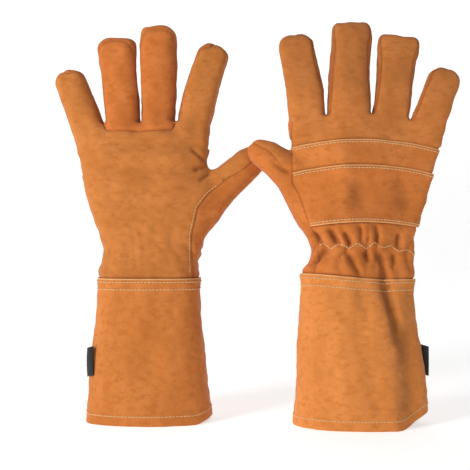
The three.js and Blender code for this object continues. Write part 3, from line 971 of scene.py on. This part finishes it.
class Graph:
    """A material's node tree with short calls for adding and joining nodes."""

    def __init__(self, name):
        self.material = bpy.data.materials.new(name)
        self.material.use_nodes = True
        self.tree = self.material.node_tree
        self.shader = self.tree.nodes["Principled BSDF"]

    def add(self, kind, settings=(), inputs=()):
        node = self.tree.nodes.new(kind)
        for key, value in dict(settings).items():
            setattr(node, key, value)
        for key, value in dict(inputs).items():
            self.feed(node.inputs[key], value)
        return node

    def feed(self, socket, value):
        if isinstance(value, bpy.types.NodeSocket):
            self.tree.links.new(value, socket)
        else:
            socket.default_value = value

    def surface(self, **inputs):
        """Sets the shader's inputs, named with _ for each space."""
        for key, value in inputs.items():
            self.feed(self.shader.inputs[key.replace("_", " ")], value)

    def noise(self, scale, detail, stretch=(1, 1, 1)):
        place = self.add("ShaderNodeTexCoord").outputs["Object"]
        mapping = self.add("ShaderNodeMapping", inputs={"Vector": place, "Scale": stretch})
        inputs = {"Vector": mapping.outputs["Vector"], "Scale": scale, "Detail": detail, "Roughness": 0.6}
        return self.add("ShaderNodeTexNoise", inputs=inputs).outputs["Fac"]

    def ramp(self, value, low, high):
        inputs = {"Value": value, "From Min": low, "From Max": high}
        return self.add("ShaderNodeMapRange", {"clamp": True}, inputs).outputs["Result"]

    def mix(self, share, a, b, blend="MIX"):
        node = self.add("ShaderNodeMix", {"data_type": "RGBA", "blend_type": blend})
        for key, kind, value in (("Factor", "VALUE", share), ("A", "RGBA", a), ("B", "RGBA", b)):
            self.feed(next(s for s in node.inputs if s.name == key and s.type == kind), value)
        return next(s for s in node.outputs if s.type == "RGBA")

    def field(self, name):
        return self.add("ShaderNodeAttribute", {"attribute_name": name}).outputs["Fac"]

    def roughen(self, height, strength, distance):
        inputs = {"Height": height, "Strength": strength, "Distance": distance}
        self.surface(Normal=self.add("ShaderNodeBump", inputs=inputs).outputs["Normal"])


def suede(name, colour, stretch):
    """Split cowhide: a matt nap with cloudy shades, paler where it is rubbed and at its raw cut edges;
    painted shade darkens it beside seams, in deep folds and towards the fingertips.
    """
    graph = Graph(name)
    base = linear(colour)
    dark = [c * 0.62 for c in base[:3]] + [1]
    pale = [min(1, c * 1.14 + 0.014) for c in base[:3]] + [1]
    clouds = graph.ramp(graph.noise(38, 5, stretch), 0.32, 0.68)
    shade = graph.mix(clouds, [c * s for c, s in zip(base, (0.93, 0.89, 0.86, 1))], pale)
    brushed = graph.ramp(graph.noise(210, 6, (0.55, 1, 1)), 0.47, 0.72)
    shade = graph.mix(brushed, shade, [c * s for c, s in zip(base, (0.86, 0.78, 0.7, 1))])
    grain = graph.ramp(graph.noise(900, 3), 0.35, 0.7)
    shade = graph.mix(grain, graph.mix(0.3, shade, dark), shade)
    # Painted shade beside seams: darker in a sewn seam's valley and beside an edge that lies on the leather.
    near_seam_painted_shade = graph.ramp(graph.field("edge"), 0.0, 1.6 * MM)
    shade = graph.mix(near_seam_painted_shade, graph.mix(0.5, shade, dark), shade)
    # Painted shade: darker towards the fingertips and in the bottom of deep folds.
    shade = graph.mix(1.0, shade, graph.field("painted_shade"), "MULTIPLY")
    raw = graph.ramp(graph.field("cut"), 0.5 * MM, 1.5 * MM)
    shade = graph.mix(raw, linear(RAW_EDGE), shade)
    graph.surface(Base_Color=shade, Roughness=0.93, Specular_IOR_Level=0.15)
    graph.surface(Sheen_Weight=0.12, Sheen_Roughness=0.5)
    graph.roughen(graph.noise(700, 6), 0.35, 0.4 * MM)
    return graph.material


def plain(name, colour, roughness, grain=0.0, scale=900, glow=0.0):
    """A cloth or thread of one colour with a soft mottle and a bump."""
    graph = Graph(name)
    base = linear(colour)
    mottle = graph.ramp(graph.noise(scale, 3), 0.3, 0.75)
    shade = graph.mix(mottle, [c * 0.75 for c in base[:3]] + [1], base)
    graph.surface(Base_Color=shade, Roughness=roughness, Specular_IOR_Level=0.3, Emission_Strength=glow)
    if grain:
        graph.roughen(graph.noise(scale, 2), grain, 0.5 * MM)
    return graph.material


# ---- the scene

SUEDES = {  # colour of each leather in glove A and in glove B
    "cuff": ((200, 120, 54), (218, 136, 66)), "palm": ((193, 118, 54), (196, 117, 55)),
    "low": ((191, 110, 48), (202, 117, 52)), "fingers": ((197, 112, 49), (192, 116, 54)),
    "gusset": ((190, 108, 48), (184, 106, 47)), "top": ((195, 119, 56), (199, 121, 57)),
    "band": ((200, 119, 54), (205, 122, 56)), "panel": ((199, 113, 50), (203, 118, 52)),
}
RAW_EDGE = (226, 168, 112)
NAP = {"cuff": (1, 1, 0.4), "palm": (0.7, 1, 1)}  # which way the cloudy shades run
INSIDE = {
    "canvas": plain("canvas", (214, 200, 170), 0.9, 0.5, 1400),
    "fleece": plain("fleece", (226, 218, 200), 1.0, 0.8, 500),
    "elastic": plain("elastic", (230, 226, 214), 0.8, 0.4, 1200),
}
THREADS = plain("thread", (234, 194, 142), 0.7)
RIBBON = plain("ribbon", (22, 22, 24), 0.35, 0.2, 1500)


def dress(name, column):
    """Makes every piece of one glove and hides the nodes that they stand for."""
    glove = Glove(name)
    looks = {}
    for key, colours in SUEDES.items():
        looks[key] = suede(f"{name}_{key}_suede", colours[column], NAP.get(key, NAP["palm"]))
    patch = Skin(glove, VOXEL).patch()
    for node, (role, material, piece) in leather_panels(glove, patch, looks).items():
        obj = piece.build(f"{name}_{node}_leather", material)
        hang(obj, glove, role)
        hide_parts(f"{name}_{node}")
    seams = Seams(glove)
    band = patch.above(ELASTIC_HALF - np.abs(patch.points[:, 2] - ELASTIC))
    elastic = Piece(glove, band, plain=[seams.back, inverse(seams.thumb_base)])
    obj = elastic.build(f"{name}_wrist_gather", INSIDE["elastic"], ELASTIC_DEPTH, ELASTIC_THICKNESS)
    hang(obj, glove, "hand")
    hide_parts(f"{name}_wrist_elastic")
    coarse = Skin(glove, LINING_VOXEL, LINING_DEPTH).patch()
    for node, (role, material, piece) in lining_panels(glove, coarse, INSIDE).items():
        obj = piece.build(f"{name}_{node}_cloth", material)
        hang(obj, glove, role)
        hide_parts(f"{name}_{node}")
    stitching(glove, patch, THREADS)
    tag(glove, RIBBON)


def backdrop():
    """A floor that curves up into a wall behind."""
    profile = [(FLOOR_FRONT, 0.0), (FLOOR_BACK, 0.0)]
    for turn in np.linspace(0, math.pi / 2, 12)[1:]:
        profile.append((FLOOR_BACK + COVE * math.sin(turn), COVE - COVE * math.cos(turn)))
    profile.append((FLOOR_BACK + COVE, WALL_TOP))
    places = [(x, y, z) for y, z in profile for x in (-WALL_HALF, WALL_HALF)]
    faces = []
    for k in range(0, len(places) - 2, 2):
        faces += [(k, k + 1, k + 3), (k, k + 3, k + 2)]
    paper = plain("paper", (250, 250, 250), 0.9, glow=PAPER_LIGHT)
    make_object("backdrop", np.array(places), np.array(faces), paper)


def softbox(name, place, size, power):
    light = bpy.data.lights.new(name, "AREA")
    light.size, light.energy = size, power
    obj = added(name, light)
    obj.location = place
    obj.rotation_euler = (Vector(LIT) - Vector(place)).to_track_quat("-Z", "Y").to_euler()


def studio():
    """A soft key light from the left, a weak fill and the camera at the photograph's angle."""
    world = bpy.data.worlds.new("studio")
    world.use_nodes = True
    background = world.node_tree.nodes["Background"]
    background.inputs["Color"].default_value = (1, 1, 1, 1)
    background.inputs["Strength"].default_value = WORLD_LIGHT
    bpy.context.scene.world = world
    for name, (place, size, power) in SOFTBOXES.items():
        softbox(name, place, size, power)
    camera = bpy.data.cameras.new("camera")
    camera.lens, camera.sensor_width, camera.clip_start = LENS, SENSOR, 0.01
    eye = added("camera", camera)
    eye.location = EYE
    eye.rotation_euler = (math.pi / 2, 0, 0)
    bpy.context.scene.camera = eye
    bpy.context.scene.view_settings.view_transform = "Standard"


dress("glove_a", 0)
dress("glove_b", 1)
backdrop()
studio()
